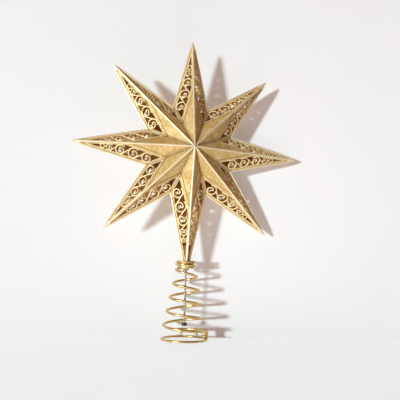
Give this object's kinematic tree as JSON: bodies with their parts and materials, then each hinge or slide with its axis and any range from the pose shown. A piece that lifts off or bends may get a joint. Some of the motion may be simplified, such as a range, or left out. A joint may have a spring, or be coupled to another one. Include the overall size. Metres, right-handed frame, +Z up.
{
  "type": "christmas tree topper star",
  "caption": "Gold pierced star with folded, ridged points on a conical wire spring that slips over a tree's top shoot and lets the star sway.",
  "frame": {"origin": "middle of the foot ring's flat underside, where the topper stands", "axes": "+Z up the spring and the star's lower point, +Y from the star's front to its back, +X to the right as seen from the front"},
  "size_m": [0.23, 0.0456, 0.3003],
  "materials": {
    "gold_sheet": "pierced aluminium sheet, matt antique gold lacquer",
    "gold_panel": "pressed aluminium sheet, grained antique gold lacquer",
    "gold_bead": "aluminium wire, brighter satin gold",
    "gold_fixings": "steel, gold lacquer",
    "dark_cap": "moulded end cap, dark antique gold",
    "spring_wire": "spring steel wire, satin gold"
  },
  "bodies": {
    "base": {"base_ring": "spring_wire", "end_clip": "spring_wire", "base_ties": "spring_wire"},
    "coil": {"spring": "spring_wire"},
    "star": {"front_cover_top": "gold_sheet", "front_cover_upper_right": "gold_sheet", "front_cover_right": "gold_sheet", "front_cover_lower_right": "gold_sheet", "front_cover_lower": "gold_sheet", "front_cover_lower_left": "gold_sheet", "front_cover_left": "gold_sheet", "front_cover_upper_left": "gold_sheet", "back_cover_top": "gold_sheet", "back_cover_upper_right": "gold_sheet", "back_cover_right": "gold_sheet", "back_cover_lower_right": "gold_sheet", "back_cover_lower": "gold_sheet", "back_cover_lower_left": "gold_sheet", "back_cover_left": "gold_sheet", "back_cover_upper_left": "gold_sheet", "front_panel": "gold_panel", "back_panel": "gold_panel", "front_ridge_wire_top": "gold_bead", "front_ridge_wire_upper_right": "gold_bead", "front_ridge_wire_right": "gold_bead", "front_ridge_wire_lower_right": "gold_bead", "front_ridge_wire_lower": "gold_bead", "front_ridge_wire_lower_left": "gold_bead", "front_ridge_wire_left": "gold_bead", "front_ridge_wire_upper_left": "gold_bead", "back_ridge_wire_top": "gold_bead", "back_ridge_wire_upper_right": "gold_bead", "back_ridge_wire_right": "gold_bead", "back_ridge_wire_lower_right": "gold_bead", "back_ridge_wire_lower": "gold_bead", "back_ridge_wire_lower_left": "gold_bead", "back_ridge_wire_left": "gold_bead", "back_ridge_wire_upper_left": "gold_bead", "rim_wires_top": "gold_bead", "rim_wires_upper_right": "gold_bead", "rim_wires_right": "gold_bead", "rim_wires_lower_right": "gold_bead", "rim_wires_lower": "gold_bead", "rim_wires_lower_left": "gold_bead", "rim_wires_left": "gold_bead", "rim_wires_upper_left": "gold_bead", "front_seam_wires": "gold_bead", "back_seam_wires": "gold_bead", "tip_caps": "gold_bead", "socket_plug": "gold_fixings", "collar": "gold_fixings", "stem": "gold_fixings", "stem_nut": "gold_fixings", "stem_cap": "dark_cap"}
  },
  "joints": [
    {"name": "spring_sway", "type": "hinge", "parent": "base", "child": "coil", "pos_m": [0, 0, 0.03], "axis": [0, 1, 0], "range_deg": [-15, 15], "stiffness_Nm_per_rad": 0.38, "deforming": ["spring"]},
    {"name": "spring_press", "type": "slide", "parent": "coil", "child": "star", "axis": [0, 0, -1], "range_m": [0, 0.012], "stiffness_N_per_m": 2800, "deforming": ["spring"]}
  ]
}
